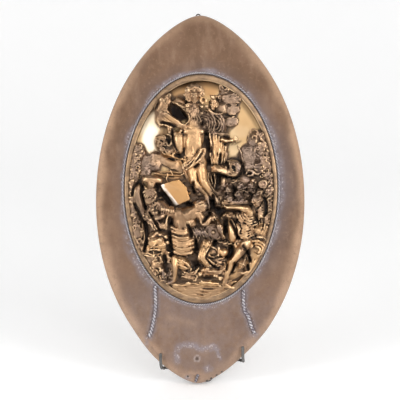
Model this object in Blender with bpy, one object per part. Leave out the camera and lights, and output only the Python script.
"""Oval bronze relief on a velvet covered board, standing in its wire display stand.

Sizes are millimetres here and are scaled once, when a mesh is made. On the panel, u runs to
the right, v up the face and w out of the face. The object stands in world space with X right,
Y back and Z up.
"""
import math

import bmesh
import bpy
from mathutils import Matrix, Vector

MM = 0.001

# The panel and how it stands
LEAN = math.radians(12.0)
TIP_HEIGHT = 4.8
HALF_WIDTH = 135.9
TOP_RISE, TOP_HANDLE, TOP_PULL = 243.1, 31.2, 166.4
FOOT_DROP, FOOT_HANDLE, FOOT_PULL = 236.6, 29.0, 158.6
TIP_SHIFT, SHIFT_FULL, SHIFT_NONE = -3.0, 35.0, 70.0
SHIFT_Y = -60.894

# The board and its velvet
BOARD_THICK = 18.0
VELVET_THICK = 1.0
GAP = 0.3
EDGE_ROUND = 7.0
LOBE_ROUND = 13.0
LOBE_TOP, LOBE_BLEND = -120.0, 60.0
TURN_OVER = 16.0
OUTLINE_STEPS = 16
EDGE_STEPS = 3
EDGE_SINK = 0.62

# The bronze
OVAL_U, OVAL_V = 1.0, 17.2
OVAL_A, OVAL_B = 99.2, 148.5
RIM_TOP = 6.6
OVAL_STEPS = 96
DISH_CENTRE, DISH_EDGE = 1.9, 5.0
RIM_INNER, DISH_OUTER = 0.948, 0.938
VOXEL = 1.7
BACK_SNAP = 0.4
RELIEF_TRIANGLES = 5200

# The cords, the eye and the stand's wire
CORD_R = 1.45
SEAM_R, SEAM_FLAT = 2.1, 0.7
LEFT_SEAM = ((-58.8, -109.5), (-57.9, -132.6), (-59.8, -149.5), (-63.3, -166.4), (-67.0, -175.5))
RIGHT_SEAM = ((56.0, -114.5), (56.9, -137.8), (62.9, -149.5), (66.0, -159.9), (70.5, -171.0))
EYE_U, EYE_TOP, EYE_LEG = -2.6, 247.4, 14.0
EYE_R, EYE_WIRE, EYE_STEPS = 2.75, 0.8, 10
LEG_GAP = 0.35
SIDE_GAP = 0.3

# The display stand: hooks as (u, height over the tip) behind, below and in front of the edge
HOOK_WIRE = 2.0
LEFT_HOOK = ((-47.4, 18.6), (-50.0, 21.4), (-51.5, 40.0))
RIGHT_HOOK = ((53.2, 28.8), (55.8, 30.4), (55.2, 49.0))
HOOK_FRONT, HOOK_UNDER, HOOK_RISE = 5.0, 9.0, 6.0
ARM_BEND, ARM_OFF_CENTRE = 0.86, 0.02
POST_R, POST_TOP = 4.0, 200.0
REST_R, REST_HALF, REST_HEIGHT = 3.0, 36.0, 190.0
FOOT_THICK, FOOT_NEAR, FOOT_FAR = 5.0, 22.5, 124.0
FOOT_NARROW, FOOT_WIDE, FOOT_CORNER = 12.0, 47.0, 5.0

for old in list(bpy.data.objects):
    bpy.data.objects.remove(old, do_unlink=True)


def material(name, colour, roughness, metallic):
    made = bpy.data.materials.new(name)
    made.use_nodes = True
    shader = made.node_tree.nodes["Principled BSDF"]
    shader.inputs["Base Color"].default_value = (*colour, 1.0)
    shader.inputs["Roughness"].default_value = roughness
    shader.inputs["Metallic"].default_value = metallic
    return made


def place_on_panel(obj):
    """Panel millimetres to the leaning panel in the world."""
    rise = FOOT_DROP * math.cos(LEAN) + TIP_HEIGHT
    back = FOOT_DROP * math.sin(LEAN) + SHIFT_Y
    obj.location = (0.0, back * MM, rise * MM)
    obj.rotation_euler = (-LEAN, 0.0, 0.0)


def finished(name, bm, mat, on_panel=True):
    """One named object from a mesh in millimetres, with its faces outwards."""
    bmesh.ops.recalc_face_normals(bm, faces=bm.faces)
    bm.transform(Matrix.Scale(MM, 4))
    mesh = bpy.data.meshes.new(name)
    bm.to_mesh(mesh)
    bm.free()
    for face in mesh.polygons:
        face.use_smooth = True
    obj = bpy.data.objects.new(name, mesh)
    bpy.context.scene.collection.objects.link(obj)
    mesh.materials.append(mat)
    if on_panel:
        place_on_panel(obj)
    return obj


def on_face(u, v, w):
    """A point of the panel as mesh coordinates: the face looks towards -Y."""
    return Vector((u, -w, v))


def bezier(points, t):
    a, b, c, d = (Vector(p) for p in points)
    s = 1.0 - t
    return a * s**3 + b * (3 * s * s * t) + c * (3 * s * t * t) + d * t**3


def lean_of_tip(v):
    """The lower tip of the board lies a little to the left."""
    part = (SHIFT_NONE - (v + FOOT_DROP)) / (SHIFT_NONE - SHIFT_FULL)
    return TIP_SHIFT * min(1.0, max(0.0, part))


def outline():
    """The pointed oval, anticlockwise as seen from the front, starting at the top tip."""
    top = ((0, TOP_RISE), (TOP_HANDLE, TOP_RISE), (HALF_WIDTH, TOP_PULL), (HALF_WIDTH, 0))
    low = ((HALF_WIDTH, 0), (HALF_WIDTH, -FOOT_PULL), (FOOT_HANDLE, -FOOT_DROP), (0, -FOOT_DROP))
    right = [bezier(top, i / OUTLINE_STEPS) for i in range(OUTLINE_STEPS)]
    right += [bezier(low, i / OUTLINE_STEPS) for i in range(OUTLINE_STEPS + 1)]
    left = [Vector((-p.x, p.y)) for p in reversed(right[1:-1])]
    loop = list(reversed(right + left))
    loop = [loop[-1]] + loop[:-1]
    return [Vector((p.x + lean_of_tip(p.y), p.y)) for p in loop]


def inset(point, depth):
    """A point of the outline drawn in towards the middle by about this depth."""
    high = TOP_RISE if point.y > 0 else FOOT_DROP
    return Vector((point.x * (1 - depth / HALF_WIDTH), point.y * (1 - depth / high)))


def edge_round(point, grown=0.0):
    """How far the soft front edge reaches in: wider on the padded lower lobe."""
    lobe = min(1.0, max(0.0, (LOBE_TOP - point.y) / LOBE_BLEND))
    return EDGE_ROUND + (LOBE_ROUND - EDGE_ROUND) * lobe + grown


def ring(bm, points, w_of):
    return [bm.verts.new(on_face(p.x, p.y, w_of(i))) for i, p in enumerate(points)]


def bridge(bm, first, second):
    count = len(first)
    for i in range(count):
        j = (i + 1) % count
        bm.faces.new((first[i], first[j], second[j], second[i]))


def fill(bm, loop, centre, w):
    hub = bm.verts.new(on_face(centre.x, centre.y, w))
    count = len(loop)
    for i in range(count):
        bm.faces.new((loop[i], loop[(i + 1) % count], hub))


def soft_edge(points, out, w_top, reach):
    """Rings that roll from the side of the slab to its front, as (points, heights)."""
    made = []
    for k in range(EDGE_STEPS + 1):
        turn = math.radians(90.0 * k / EDGE_STEPS)
        ins = [inset(p, -out + reach(p) * (1 - math.cos(turn))) for p in points]
        heights = [w_top - reach(p) * EDGE_SINK * (1 - math.sin(turn)) for p in points]
        made.append((ins, heights))
    return made


def slab(bm, points, out, w_back, w_top, reach):
    """The side and soft front edge of a slab; gives its back ring and last front ring."""
    back = ring(bm, [inset(p, -out) for p in points], lambda i: w_back)
    last = back
    for ins, heights in soft_edge(points, out, w_top, reach):
        here = ring(bm, ins, lambda i, h=heights: h[i])
        bridge(bm, last, here)
        last = here
    return back, last


def oval(a, b, steps=OVAL_STEPS):
    """An oval round the bronze's centre, in the outline's direction."""
    made = []
    for i in range(steps):
        turn = math.radians(90) + 2 * math.pi * i / steps
        made.append(Vector((OVAL_U + a * math.cos(turn), OVAL_V + b * math.sin(turn))))
    return made


def make_board():
    bm = bmesh.new()
    points = outline()
    top = -VELVET_THICK - GAP
    bottom = top - BOARD_THICK
    inner = VELVET_THICK + GAP
    back, front = slab(bm, points, -inner, bottom, top, edge_round)
    fill(bm, front, Vector((0, 0)), top)
    fill(bm, back, Vector((0, 0)), bottom)
    return finished("wooden_board", bm, WOOD)


def make_velvet():
    """A skin over the front and sides, turned over the back, with an opening for the bronze."""
    bm = bmesh.new()
    points = outline()
    back_w = -VELVET_THICK - GAP - BOARD_THICK - GAP
    grown = VELVET_THICK
    low = back_w - VELVET_THICK
    out_back, out_front = slab(bm, points, 0.0, low, 0.0, lambda p: edge_round(p, grown))
    in_back, in_front = slab(bm, points, -VELVET_THICK, back_w, -VELVET_THICK, edge_round)
    hem = ring(bm, [inset(p, TURN_OVER) for p in points], lambda i: low)
    hem_in = ring(bm, [inset(p, TURN_OVER) for p in points], lambda i: back_w)
    bridge(bm, hem, out_back)
    bridge(bm, hem_in, hem)
    bridge(bm, in_back, hem_in)
    count = len(points)
    hole = oval(OVAL_A + GAP, OVAL_B + GAP, count)
    hole_top = ring(bm, hole, lambda i: 0.0)
    hole_low = ring(bm, hole, lambda i: -VELVET_THICK)
    bridge(bm, out_front, hole_top)
    bridge(bm, hole_top, hole_low)
    bridge(bm, hole_low, in_front)
    return finished("velvet_cover", bm, VELVET)


def tube_mesh(points, radii, closed=False, sides=2, smooth=3, flat=1.0):
    """A round strand through the points, from a curve with a bevel, as a mesh in millimetres."""
    curve = bpy.data.curves.new("strand", "CURVE")
    curve.dimensions = "3D"
    curve.bevel_depth = 1.0
    curve.bevel_resolution = sides
    curve.resolution_u = smooth
    curve.use_fill_caps = not closed
    spline = curve.splines.new("NURBS" if smooth > 1 else "POLY")
    spline.points.add(len(points) - 1)
    for knot, place, radius in zip(spline.points, points, radii):
        x, y, z = place
        knot.co = (x, y / flat, z, 1.0)
        knot.radius = radius
    spline.order_u = 3
    spline.use_endpoint_u = not closed
    spline.use_cyclic_u = closed
    holder = bpy.data.objects.new("strand", curve)
    bpy.context.scene.collection.objects.link(holder)
    bpy.context.view_layer.update()
    graph = bpy.context.evaluated_depsgraph_get()
    mesh = bpy.data.meshes.new_from_object(holder.evaluated_get(graph))
    bpy.data.objects.remove(holder)
    bm = bmesh.new()
    bm.from_mesh(mesh)
    bpy.data.meshes.remove(mesh)
    bmesh.ops.scale(bm, vec=(1.0, flat, 1.0), verts=bm.verts)
    bmesh.ops.remove_doubles(bm, verts=bm.verts, dist=0.0001)
    return bm


def merge_into(target, extra):
    mesh = bpy.data.meshes.new("extra")
    extra.to_mesh(mesh)
    extra.free()
    target.from_mesh(mesh)
    bpy.data.meshes.remove(mesh)


def ball(bm, at, size, turn=0.0, detail=2):
    """An egg shape: size is its half extents in u, v, w; turn spins it in the face."""
    place = Matrix.Translation(on_face(*at))
    spin = Matrix.Rotation(-math.radians(turn), 4, "Y")
    shape = Matrix.Diagonal((size[0], size[2], size[1], 1.0))
    bmesh.ops.create_icosphere(bm, subdivisions=detail, radius=1.0, matrix=place @ spin @ shape)


def limb(bm, knots, flat=1.0, sides=2):
    """A tapering strand; each knot is (u, v, w, radius). Its ends are rounded off."""
    points = [on_face(*k[:3]) for k in knots]
    merge_into(bm, tube_mesh(points, [k[3] for k in knots], sides=sides, flat=flat))
    for u, v, w, radius in (knots[0], knots[-1]):
        ball(bm, (u, v, w), (radius, radius, radius * flat), detail=1)


def jointed(bm, knots, flat=1.0):
    """Straight bones between joints, with the joint itself rounded."""
    for start, end in zip(knots, knots[1:]):
        limb(bm, (start, end), flat)


def figure(bm, build, head, trunk, arms, legs):
    """A small human figure: head, a trunk through its knots, then arms and legs by their joints."""
    ball(bm, head, (7.2 * build, 8.6 * build, 7.6 * build), detail=2)
    limb(bm, [(u, v, w, r * build) for u, v, w, r in trunk], flat=0.8)
    for joints in arms:
        radii = (5.0, 3.9, 2.9, 3.0)
        jointed(bm, [(*j, r * build) for j, r in zip(joints, radii)])
    for joints in legs:
        radii = (7.6, 5.6, 3.4, 2.7)
        jointed(bm, [(*j, r * build) for j, r in zip(joints, radii)])


def floor_w(u, v):
    """How high the dish lies at a point of the oval."""
    part = (u / OVAL_A) ** 2 + (v / OVAL_B) ** 2
    return DISH_CENTRE + (DISH_EDGE - DISH_CENTRE) * min(1.0, part)


def risen_figure(bm):
    figure(
        bm, 1.12, (-9, 119, 29),
        ((-9, 106, 23, 4.6), (-9, 92, 20, 10.5), (-9, 76, 20, 11.5), (-10, 58, 19, 9.2), (-8, 40, 20, 10.5)),
        (
            ((-19, 89, 20), (-33, 86, 29), (-47, 98, 33), (-52, 103, 33)),
            ((6, 90, 18), (24, 70, 22), (38, 62, 29), (47, 67, 31)),
        ),
        (
            ((-2, 36, 22), (8, 8, 32), (17, -6, 26), (27, -15, 28)),
            ((-13, 34, 20), (-10, 9, 28), (11, -10, 20), (15, -26, 23)),
        ),
    )
    # Hair, raised hand's cloth and the knobs beside the head
    for u, v, w, r in ((-17, 124, 27, 5), (-9, 129, 28, 6), (0, 123, 27, 5), (-1, 112, 25, 4)):
        ball(bm, (u, v, w), (r, r, r))
    for u, v, w, r in ((4, 113, 24, 5), (14, 117, 20, 4), (8, 105, 20, 4), (14, 107, 17, 6)):
        ball(bm, (u, v, w), (r, r, r))
    # Loincloth across the hips and the cloak that swirls behind the shoulder
    limb(bm, ((6, 53, 25, 3), (-4, 42, 30, 5), (-20, 27, 25, 4)), 0.8)
    limb(bm, ((-20, 45, 24, 4), (-8, 36, 29, 5), (6, 30, 26, 4)), 0.8)
    cloak = ((4, 82, 16, 3), (0, 90, 17, 4), (6, 97, 17, 5), (16, 92, 17, 6), (24, 82, 17, 6), (34, 68, 18, 5))
    limb(bm, cloak)
    limb(bm, ((12, 84, 20, 3), (18, 86, 20, 4), (24, 77, 20, 4), (31, 70, 20, 3)))
    # Drapery hanging from the arm, in parallel folds
    for k in range(4):
        u = 12 + 5.2 * k
        limb(bm, ((u + 1, 68 - 2 * k, 20, 2.6), (u, 48, 19 + k % 2 * 3, 3.2), (u - 1, 31 + k, 18, 2.8)))
    # The flying end at the right, rolled into a spiral
    turns = 9
    coil = []
    for k in range(turns + 1):
        turn = math.radians(-110 + 62 * k)
        reach = 11.0 - 8.0 * k / turns
        coil.append((42 + reach * math.cos(turn), 27 + reach * math.sin(turn), 19 + 0.7 * k, 2.7))
    limb(bm, [(11, 23, 24, 3), (26, 20, 24, 3.6)] + coil)
    ball(bm, (42, 27, 15), (9, 9, 6))
    # Strands that fall beside the legs
    for start, end in (((9, 20, 24), (18, -2, 20)), ((28, 19, 21), (26, 0, 17)), ((-16, 24, 20), (-9, 8, 22))):
        limb(bm, ((*start, 2.8), (*end, 2.2)))


def bunch_at_left(bm):
    """The curled cloth and the gold flank between it and the body."""
    limb(bm, ((-27, 76, 17, 5), (-28, 60, 18, 6), (-25, 46, 18, 5)))
    for k in range(11):
        turn = math.radians(137.5 * k)
        reach = 2.6 * math.sqrt(k)
        ball(bm, (-48 + reach * 1.15 * math.cos(turn), 60 + reach * math.sin(turn), 17), (4.2, 4.2, 5.5))
    limb(bm, ((-40, 68, 20, 2.6), (-42, 58, 22, 3), (-36, 48, 20, 4), (-25, 42, 19, 4)))
    limb(bm, ((-40, 74, 15, 3), (-34, 70, 18, 3.4), (-33, 58, 18, 3.2)))


def sky(bm):
    """Clouds, wing and the dark winged group at the upper left, all low on the dish."""
    for u, v, ru, rv in ((35, 122, 15, 12), (39, 104, 13, 9), (36, 88, 13, 8), (24, 128, 8, 9)):
        ball(bm, (u, v, floor_w(u, v)), (ru, rv, 5.0))
    limb(bm, ((-57, 98, 8, 4), (-58, 114, 8, 4), (-48, 125, 10, 4), (-38, 119, 11, 3.4), (-35, 110, 10, 3)))
    ball(bm, (-50, 112, 9), (7, 8, 9), detail=2)
    limb(bm, ((-52, 108, 10, 6), (-50, 94, 11, 7), (-44, 84, 12, 5), (-33, 78, 14, 4)))
    for u, v, ru, rv in ((-66, 33, 14, 11), (-58, 42, 9, 6), (-72, 44, 7, 5), (60, 40, 11, 19), (57, 18, 9, 9)):
        ball(bm, (u, v, floor_w(u, v)), (ru, rv, 4.4))
    # The pointed banner over the tomb
    limb(bm, ((-62, 20, 6, 1.8), (-48, 17, 9, 4), (-34, 15, 12, 6), (-22, 19, 14, 6)), 0.6)
    limb(bm, ((-60, 45, 4, 1.5), (-42, 34, 6, 3.4), (-24, 24, 9, 4)), 0.5)


def rocks(bm):
    """Foliage and rocks up both edges: lumps spaced by a fixed rule along each side."""
    for k in range(12):
        v = 54 - 11.2 * k
        side = 91.0 * math.sqrt(1 - (v / 142.0) ** 2)
        ball(bm, (-side + 8, v, floor_w(side, v) + 1), (8.5, 7, 6.0 + 1.5 * (k % 2)))
        if k % 2 == 0:
            ball(bm, (-side + 19, v - 4, 4), (8, 8, 6))
    for k in range(11):
        v = 66 - 11.5 * k
        side = 91.0 * math.sqrt(1 - (v / 142.0) ** 2)
        ball(bm, (side - 9, v, floor_w(side, v) + 1), (9, 7, 6.5 + 1.5 * (k % 2)))
    limb(bm, ((60, 62, 8, 3), (64, 74, 9, 3.4), (72, 75, 9, 3), (75, 66, 8, 3), (83, 66, 8, 3)))
    ball(bm, (80, 6, 13), (6, 6, 6))
    # Ground: a broad mound under the soldiers, with ledges along its foot
    ball(bm, (0, -55, 1), (84, 72, 11))
    ball(bm, (0, 0, 2), (70, 26, 9))
    for k in range(3):
        v = -123 - 7.5 * k
        half = 46 - 11 * k
        low = 2 * k
        left = ((-half, v + 5, 6, 3), (-half * 0.3, v, 10 - low, 4))
        limb(bm, left + ((half * 0.4, v + 1, 11 - low, 4), (half, v + 6, 6, 3)))


def tomb(bm):
    """The slanting lid: a flat slab whose near side shows bright."""
    half = Vector((14.5, 15.0, 3.2))
    centre = on_face(-35.0, -6.5, 22.0)
    turn = Matrix.Rotation(math.radians(-57), 4, "Y") @ Matrix.Rotation(math.radians(-16), 4, "X")
    shape = Matrix.Diagonal((half.x, half.z, half.y, 1.0))
    bmesh.ops.create_cube(bm, size=2.0, matrix=Matrix.Translation(centre) @ turn @ shape)
    ball(bm, (-34, -6, 13), (15, 13, 9))


def left_soldier(bm):
    """Crouching in helmet and banded sleeve, in front of his oval shield and cloak."""
    figure(
        bm, 0.95, (-63, 6, 24),
        ((-66, -6, 20, 6), (-66, -18, 20, 9), (-62, -34, 19, 9), (-60, -50, 18, 9)),
        (
            ((-70, -8, 22), (-76, -24, 24), (-66, -34, 27), (-60, -38, 28)),
            ((-56, -8, 23), (-44, -26, 27), (-36, -30, 27), (-34, -31, 27)),
        ),
        (
            ((-62, -50, 20), (-48, -64, 26), (-52, -82, 18), (-42, -83, 18)),
            ((-66, -50, 18), (-66, -70, 22), (-71, -84, 14), (-62, -84, 14)),
        ),
    )
    ball(bm, (-63, 10, 22), (10, 7, 9))
    limb(bm, ((-70, 14, 19, 2), (-60, 19, 22, 3), (-50, 13, 20, 2.4)))
    # Shield rim and the cloak edge below it
    limb(bm, ((-79, 9, 17, 2.6), (-87, 0, 17, 2.6), (-88, -12, 17, 2.8), (-82, -28, 17, 2.8),
              (-74, -46, 15, 2.6), (-71, -66, 13, 2.6), (-74, -82, 11, 2.4)))
    for k in range(3):
        limb(bm, ((-70 + 6 * k, -27 - 2 * k, 25, 2.8), (-60 + 5 * k, -43, 27, 3.4), (-54 + 4 * k, -56, 23, 2.8)))
    # Skirt over the bent knee
    limb(bm, ((-64, -74, 20, 4), (-53, -68, 25, 5), (-46, -78, 20, 4)))
    limb(bm, ((-74, -83, 12, 3.4), (-58, -85, 15, 4), (-44, -82, 14, 3.4)))


def central_soldier(bm):
    """Seen from behind: broad back, banded skirt, kneeling."""
    figure(
        bm, 1.0, (-2, -20, 31),
        ((-6, -26, 28, 6), (-16, -32, 27, 11), (-24, -44, 26, 11), (-24, -60, 24, 11), (-23, -80, 22, 13)),
        (
            ((-32, -30, 27), (-44, -38, 27), (-50, -46, 25), (-52, -48, 25)),
            ((-6, -30, 30), (3, -43, 32), (12, -40, 30), (15, -36, 29)),
        ),
        (
            ((-28, -82, 24), (-33, -96, 26), (-33, -116, 16), (-38, -121, 17)),
            ((-16, -82, 24), (-14, -98, 28), (-24, -106, 20), (-26, -108, 18)),
        ),
    )
    for k in range(6):
        v = -52 - 5.4 * k
        limb(bm, ((-39, v + 1, 26, 2.2), (-24, v - 1.5, 33 - 0.4 * k, 2.9), (-8, v, 28, 2.2)))


def right_group(bm):
    """The soldier with the outstretched arm, the heads behind him and the fallen shield."""
    figure(
        bm, 0.95, (73, -16, 22),
        ((68, -22, 20, 6), (61, -30, 22, 10), (58, -44, 22, 9), (58, -56, 20, 10)),
        (
            ((55, -25, 26), (44, -25, 32), (33, -25, 33), (29, -26, 33)),
            ((70, -28, 20), (76, -42, 20), (72, -52, 20), (68, -56, 20)),
        ),
        (
            ((54, -54, 22), (37, -42, 27), (44, -64, 22), (46, -70, 22)),
            ((62, -58, 20), (48, -82, 28), (36, -108, 22), (29, -123, 18)),
        ),
    )
    ball(bm, (73, -12, 21), (10, 7, 9))
    for k in range(4):
        limb(bm, ((83 - 2 * k, -10 - 6 * k, 16, 2.6), (76, -20 - 5 * k, 22, 2.6)))
    for k in range(4):
        limb(bm, ((48, -46 - 4.2 * k, 24, 2), (58, -48 - 4.2 * k, 30, 2.5), (68, -45 - 4.2 * k, 24, 2)))
    # Heads and dark shapes behind
    near_heads = ((35, -3, 19, 7.5), (35, -14, 20, 6.5), (50, -6, 16, 8))
    for u, v, w, r in (*near_heads, (60, 0, 15, 8), (50, 8, 12, 7), (24, -16, 15, 6)):
        ball(bm, (u, v, w), (r, r, r))
    limb(bm, ((40, -16, 18, 4), (54, -14, 19, 5), (66, -6, 16, 4)))
    # Round shield, the reclining soldier's leg and the kneeling shins
    ball(bm, (17, -55, 23), (13, 11, 5), turn=-25)
    jointed(bm, ((20, -44, 25, 4.4), (29, -62, 27, 3.2), (31, -66, 25, 3)))
    jointed(bm, ((8, -38, 28, 3.4), (15, -45, 27, 3), (20, -40, 24, 2.6)))
    # The rolled turban at the right edge, with the gold cloth falling from it
    coil = []
    for k in range(12):
        turn = math.radians(20 + 58 * k)
        reach = 11.0 - 0.8 * k
        coil.append((75 + reach * math.cos(turn), -73 + reach * math.sin(turn), 15 + 0.6 * k, 2.8))
    limb(bm, coil)
    ball(bm, (75, -73, 12), (10, 10, 7))
    limb(bm, ((84, -44, 11, 4), (77, -52, 14, 6), (72, -60, 14, 5)))
    limb(bm, ((76, -84, 11, 5), (71, -96, 12, 7), (66, -106, 10, 5)))


def sleeper(bm):
    """The soldier lying along the foot of the scene: zig-zag legs, folds and his helmet."""
    for k in range(3):
        u = 4 * k
        limb(bm, ((6 + u, -66, 24, 2.4), (u - 3, -84, 30, 3.0), (3 + u, -92, 29, 3), (15 + u, -104, 22, 2.6)))
    figure(
        bm, 0.9, (52, -98, 19),
        ((44, -102, 17, 6), (30, -98, 18, 8), (18, -92, 19, 8)),
        (
            ((30, -88, 22), (28, -80, 26), (17, -80, 26), (12, -84, 26)),
            ((34, -104, 18), (22, -112, 19), (10, -110, 18), (4, -108, 18)),
        ),
        (
            ((14, -92, 21), (-2, -88, 29), (12, -103, 20), (18, -108, 18)),
            ((12, -98, 18), (0, -116, 20), (18, -121, 17), (26, -121, 17)),
        ),
    )
    ball(bm, (52, -96, 17), (11, 11, 9))
    # Small broken forms at the left of the ground
    ball(bm, (-52, -94, 12), (4, 8, 6))
    ball(bm, (-60, -102, 9), (8, 6, 5))
    ball(bm, (-46, -112, 10), (7, 6, 6))
    limb(bm, ((-34, -122, 12, 3.4), (-20, -125, 14, 3.6), (-4, -121, 12, 3)))


def dish_body(bm):
    """The oval plate: upright wall, flat rim and the smooth hollow inside it."""
    wall = ((1.0, -VELVET_THICK), (1.0, RIM_TOP - 1.0), (0.99, RIM_TOP))
    lip = ((RIM_INNER, RIM_TOP), (DISH_OUTER, DISH_EDGE))
    inner = [(s, floor_w(OVAL_A * s, 0.0)) for s in (0.8, 0.6, 0.4, 0.2)]
    rings = []
    for scale, w in (*wall, *lip, *inner):
        loop = []
        for i in range(OVAL_STEPS):
            turn = 2 * math.pi * i / OVAL_STEPS
            place = on_face(OVAL_A * scale * math.cos(turn), OVAL_B * scale * math.sin(turn), w)
            loop.append(bm.verts.new(place))
        rings.append(loop)
    for first, second in zip(rings, rings[1:]):
        bridge(bm, first, second)
    fill(bm, rings[0], Vector((0, 0)), -VELVET_THICK)
    fill(bm, rings[-1], Vector((0, 0)), DISH_CENTRE)


def apply_modifier(obj, kind, **settings):
    modifier = obj.modifiers.new(kind.lower(), kind)
    for key, value in settings.items():
        setattr(modifier, key, value)
    graph = bpy.context.evaluated_depsgraph_get()
    mesh = bpy.data.meshes.new_from_object(obj.evaluated_get(graph))
    obj.modifiers.clear()
    obj.data = mesh


def level_back(bm, snap):
    """Brings every point that is behind the flat back, or this near to it, onto the back."""
    for vert in bm.verts:
        if vert.co.y > VELVET_THICK - snap:
            vert.co.y = VELVET_THICK


def make_relief():
    bm = bmesh.new()
    dish_body(bm)
    groups = (sky, rocks, tomb, bunch_at_left, risen_figure, left_soldier, central_soldier, right_group)
    for build in (*groups, sleeper):
        build(bm)
    bmesh.ops.recalc_face_normals(bm, faces=bm.faces)
    level_back(bm, 0.0)
    mesh = bpy.data.meshes.new("relief")
    bm.to_mesh(mesh)
    bm.free()
    relief = bpy.data.objects.new("relief", mesh)
    bpy.context.scene.collection.objects.link(relief)
    apply_modifier(relief, "REMESH", mode="VOXEL", voxel_size=VOXEL, adaptivity=0.0)
    apply_modifier(relief, "SMOOTH", factor=0.5, iterations=1)
    full = sum(len(p.vertices) - 2 for p in relief.data.polygons)
    apply_modifier(relief, "DECIMATE", ratio=RELIEF_TRIANGLES / full)
    bm = bmesh.new()
    bm.from_mesh(relief.data)
    bpy.data.objects.remove(relief)
    level_back(bm, BACK_SNAP)
    bmesh.ops.translate(bm, vec=on_face(OVAL_U, OVAL_V, 0.0), verts=bm.verts)
    return finished("bronze_relief", bm, BRONZE)


def make_oval_cord():
    reach = GAP + CORD_R + SIDE_GAP
    points = [on_face(p.x, p.y, CORD_R + GAP) for p in oval(OVAL_A + reach, OVAL_B + reach)]
    bm = tube_mesh(points, [CORD_R] * len(points), closed=True, sides=1, smooth=1)
    return finished("oval_cord", bm, CORD)


def velvet_height(u, v):
    """How far the velvet's face has dropped at a point near the soft edge."""
    here = Vector((u, v))
    points = outline()
    depth = min((p - here).length for a, b in zip(points, points[1:]) for p in (a, (a + b) / 2, b))
    reach = edge_round(here, VELVET_THICK)
    across = min(1.0, depth / reach)
    return -reach * EDGE_SINK * (1 - math.sqrt(1 - (1 - across) ** 2))


def make_seam_cord(name, knots):
    """A cord laid flat on the velvet, from beside the oval cord to the soft edge."""
    over = SEAM_R * SEAM_FLAT + GAP
    points = [on_face(u, v, velvet_height(u, v) + over) for u, v in knots]
    bm = tube_mesh(points, [SEAM_R] * len(points), sides=1, smooth=2, flat=SEAM_FLAT)
    return finished(name, bm, CORD)


def make_eye():
    """A hairpin of iron wire lying on the back, its loop just above the top edge."""
    w = -BOARD_THICK - 2 * VELVET_THICK - 3 * GAP - EYE_WIRE
    centre = EYE_TOP - EYE_R - EYE_WIRE
    leg = EYE_WIRE + LEG_GAP
    opening = math.asin(leg / EYE_R)
    path = [on_face(EYE_U + leg, centre - EYE_R - EYE_LEG, w)]
    for k in range(EYE_STEPS + 1):
        turn = -math.pi / 2 + opening + (2 * math.pi - 2 * opening) * k / EYE_STEPS
        path.append(on_face(EYE_U + EYE_R * math.cos(turn), centre + EYE_R * math.sin(turn), w))
    path.append(on_face(EYE_U - leg, centre - EYE_R - EYE_LEG, w))
    bm = tube_mesh(path, [EYE_WIRE] * len(path), sides=1, smooth=1)
    return finished("hanging_eye", bm, IRON)


def beside_panel(u, height, w):
    """A point given from the panel's lower tip, in the world with the floor at zero."""
    y = height * math.sin(LEAN) - w * math.cos(LEAN)
    z = height * math.cos(LEAN) + w * math.sin(LEAN) + TIP_HEIGHT
    return Vector((u, y + SHIFT_Y, z))


def mesh_object(name, bm):
    mesh = bpy.data.meshes.new(name)
    bmesh.ops.recalc_face_normals(bm, faces=bm.faces)
    bm.to_mesh(mesh)
    bm.free()
    obj = bpy.data.objects.new(name, mesh)
    bpy.context.scene.collection.objects.link(obj)
    return obj


def foot_plate():
    """A flat steel foot, narrow behind the tip and wide at the back."""
    bm = bmesh.new()
    corners = ((-FOOT_NARROW, FOOT_NEAR), (FOOT_NARROW, FOOT_NEAR), (FOOT_WIDE, FOOT_FAR), (-FOOT_WIDE, FOOT_FAR))
    loop = [bm.verts.new((x, y + SHIFT_Y, 0.0)) for x, y in corners]
    base = bm.faces.new(loop)
    grown = bmesh.ops.extrude_face_region(bm, geom=[base])["geom"]
    top = [g for g in grown if isinstance(g, bmesh.types.BMVert)]
    bmesh.ops.translate(bm, vec=(0, 0, FOOT_THICK), verts=top)
    upright = [e for e in bm.edges if abs(e.verts[0].co.z - e.verts[1].co.z) > 1.0]
    bmesh.ops.bevel(bm, geom=upright, offset=FOOT_CORNER, segments=3, profile=0.5, affect="EDGES")
    return bm


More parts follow.
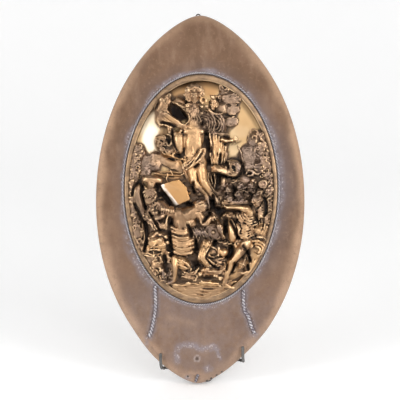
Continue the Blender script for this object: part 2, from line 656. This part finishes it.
def make_stand():
    """Foot, post, back rest and two hooked arms, welded into one piece of steel."""
    bare_back = -VELVET_THICK - GAP - BOARD_THICK
    velvet_back = bare_back - VELVET_THICK - GAP
    post_w = velvet_back - 2 * GAP - POST_R
    rest_w = bare_back - GAP - REST_R
    parts = [mesh_object("foot", foot_plate())]
    sunk = FOOT_THICK / 2
    base = (sunk - TIP_HEIGHT - post_w * math.sin(LEAN)) / math.cos(LEAN)
    post = [beside_panel(0, base, post_w), beside_panel(0, POST_TOP, post_w)]
    parts.append(mesh_object("post", tube_mesh(post, [POST_R] * 2, sides=3, smooth=1)))
    rest = [beside_panel(side * REST_HALF, REST_HEIGHT, rest_w) for side in (-1, 1)]
    parts.append(mesh_object("rest", tube_mesh(rest, [REST_R] * 2, sides=2, smooth=1)))
    for (back_u, back_h), (low_u, low_h), (tip_u, tip_h) in (LEFT_HOOK, RIGHT_HOOK):
        inner = ARM_BEND * back_u
        start = -ARM_OFF_CENTRE * back_u
        knots = (
            (start, back_h, post_w), (0.5 * inner, back_h, post_w), (inner, back_h, post_w),
            (back_u, back_h, post_w - 0.6), (back_u, back_h, velvet_back + HOOK_RISE),
            (low_u, low_h, HOOK_FRONT - HOOK_UNDER), (low_u, low_h, HOOK_FRONT), (low_u, low_h, HOOK_FRONT),
            (tip_u, low_h + HOOK_RISE, HOOK_FRONT),
            (tip_u, tip_h, HOOK_FRONT),
        )
        path = [beside_panel(*knot) for knot in knots]
        parts.append(mesh_object("arm", tube_mesh(path, [HOOK_WIRE] * len(path), sides=2, smooth=3)))
    stand = parts[0]
    for other in parts[1:]:
        # The exact solver loses the stand where the second arm meets it
        apply_modifier(stand, "BOOLEAN", operation="UNION", solver="MANIFOLD", object=other)
        bpy.data.objects.remove(other)
    bm = bmesh.new()
    bm.from_mesh(stand.data)
    bpy.data.objects.remove(stand)
    return finished("display_stand", bm, STEEL, on_panel=False)


WOOD = material("wood", (0.30, 0.19, 0.11), 0.6, 0.0)
VELVET = material("velvet", (0.30, 0.20, 0.14), 0.95, 0.0)
BRONZE = material("bronze", (0.45, 0.30, 0.13), 0.35, 1.0)
CORD = material("cord", (0.40, 0.38, 0.40), 0.7, 0.1)
IRON = material("iron", (0.10, 0.10, 0.10), 0.5, 1.0)
STEEL = material("steel", (0.12, 0.12, 0.12), 0.55, 0.8)

make_board()
make_velvet()
make_relief()
make_oval_cord()
make_seam_cord("left_seam_cord", LEFT_SEAM)
make_seam_cord("right_seam_cord", RIGHT_SEAM)
make_eye()
make_stand()
